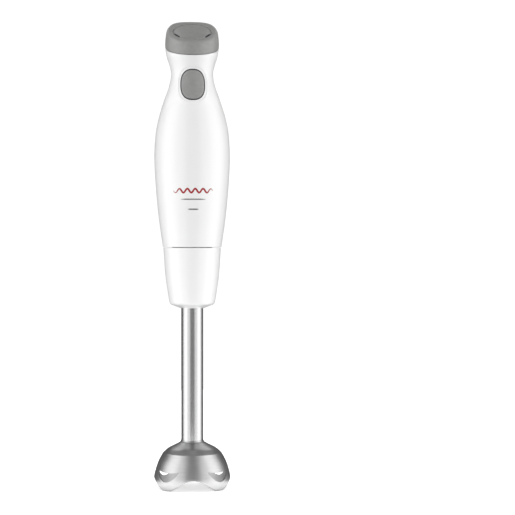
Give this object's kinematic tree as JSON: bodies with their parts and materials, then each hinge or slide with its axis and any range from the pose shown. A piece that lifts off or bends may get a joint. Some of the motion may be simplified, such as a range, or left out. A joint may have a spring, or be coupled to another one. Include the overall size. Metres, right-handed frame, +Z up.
{
  "type": "immersion blender",
  "caption": "Hand-held stick blender: waisted white grip with a grey push button and sloped cap, twist-off steel foot with a lobed, slotted bell guard over a spinning knife.",
  "frame": {"origin": "on the drive axis, level with the bell's feet", "axes": "+Z up the drive axis from the bell to the cap, -Y towards the push button"},
  "size_m": [0.0656, 0.0656, 0.4008],
  "materials": {
    "body_white": "gloss moulded",
    "soft_grey": "satin moulded",
    "inner_plastic": "as moulded",
    "black_plastic": "as moulded",
    "seal_rubber": "matt",
    "brushed_tube": "brushed along its length",
    "bell_steel": "fine spun polish",
    "plain_steel": "bright zinc plated",
    "blade_steel": "ground",
    "bronze": "sintered",
    "copper": "enamelled winding",
    "ferrite": "matt sintered",
    "carbon": "matt pressed",
    "circuit_green": "lacquered laminate",
    "capacitor_yellow": "moulded case",
    "lead_red": "wire insulation",
    "lead_black": "wire insulation"
  },
  "bodies": {
    "motor_unit": {"front_shell": "body_white", "rear_shell": "body_white", "top_cap": "soft_grey", "cap_insert": "soft_grey", "cord_gland": "soft_grey", "coupling_housing": "inner_plastic", "shell_screw_upper_left": "plain_steel", "shell_screw_upper_right": "plain_steel", "shell_screw_lower_left": "plain_steel", "shell_screw_lower_right": "plain_steel", "circuit_board": "circuit_green", "switch_body": "black_plastic", "button_spring": "plain_steel", "capacitor": "capacitor_yellow", "bridge_rectifier": "black_plastic", "cord_clamp": "black_plastic", "choke_left": "copper", "choke_right": "copper", "motor_lead_left": "lead_red", "motor_lead_right": "lead_black", "clamp_screw_left": "plain_steel", "clamp_screw_right": "plain_steel", "board_screw_lower": "plain_steel", "board_screw_upper": "plain_steel", "motor_can": "plain_steel", "magnet_left": "ferrite", "magnet_right": "ferrite", "brush_plate": "black_plastic", "brush_front": "carbon", "brush_rear": "carbon", "upper_bearing": "bronze", "lower_bearing": "bronze", "upper_damper": "seal_rubber", "lower_damper": "seal_rubber", "motor_bracket": "plain_steel", "motor_screw_front": "plain_steel", "motor_screw_rear": "plain_steel"},
    "button": {"power_button": "soft_grey"},
    "plunger": {"switch_plunger": "inner_plastic"},
    "rotor": {"motor_shaft": "plain_steel", "armature_core": "plain_steel", "armature_winding": "copper", "commutator": "copper", "cooling_fan": "black_plastic", "drive_coupler": "black_plastic"},
    "lock_seal": {"seal_ring": "seal_rubber"},
    "foot": {"foot_collar": "body_white", "collar_socket": "inner_plastic", "shaft_tube": "brushed_tube", "bell_guard": "bell_steel", "bell_hub": "inner_plastic", "upper_bush": "bronze", "lower_bush": "bronze", "shaft_seal": "seal_rubber"},
    "blade_shaft": {"drive_shaft": "plain_steel", "driven_coupler": "black_plastic", "knife_holder": "black_plastic", "knife": "blade_steel"}
  },
  "joints": [
    {"name": "button_press", "type": "slide", "parent": "motor_unit", "child": "button", "axis": [0, 1, 0], "range_m": [0, 0.002], "stiffness_N_per_m": 1500, "springref_m": -0.002, "deforming": ["button_spring"]},
    {"name": "plunger_press", "type": "slide", "parent": "motor_unit", "child": "plunger", "axis": [0, 1, 0], "range_m": [0, 0.002]},
    {"name": "rotor_spin", "type": "hinge", "parent": "motor_unit", "child": "rotor", "pos_m": [0, 0, 0.25], "axis": [0, 0, 1], "continuous": true},
    {"name": "foot_twist", "type": "hinge", "parent": "motor_unit", "child": "lock_seal", "pos_m": [0, 0, 0.2], "axis": [0, 0, 1], "range_deg": [0, 30]},
    {"name": "foot_pull", "type": "slide", "parent": "lock_seal", "child": "foot", "axis": [0, 0, -1], "range_m": [0, 0.06]},
    {"name": "knife_spin", "type": "hinge", "parent": "foot", "child": "blade_shaft", "pos_m": [0, 0, 0.1], "axis": [0, 0, 1], "continuous": true}
  ],
  "couplings": [
    {"joint": "plunger_press", "follows": "button_press", "ratio": 1},
    {"joint": "knife_spin", "follows": "rotor_spin", "ratio": 1}
  ]
}
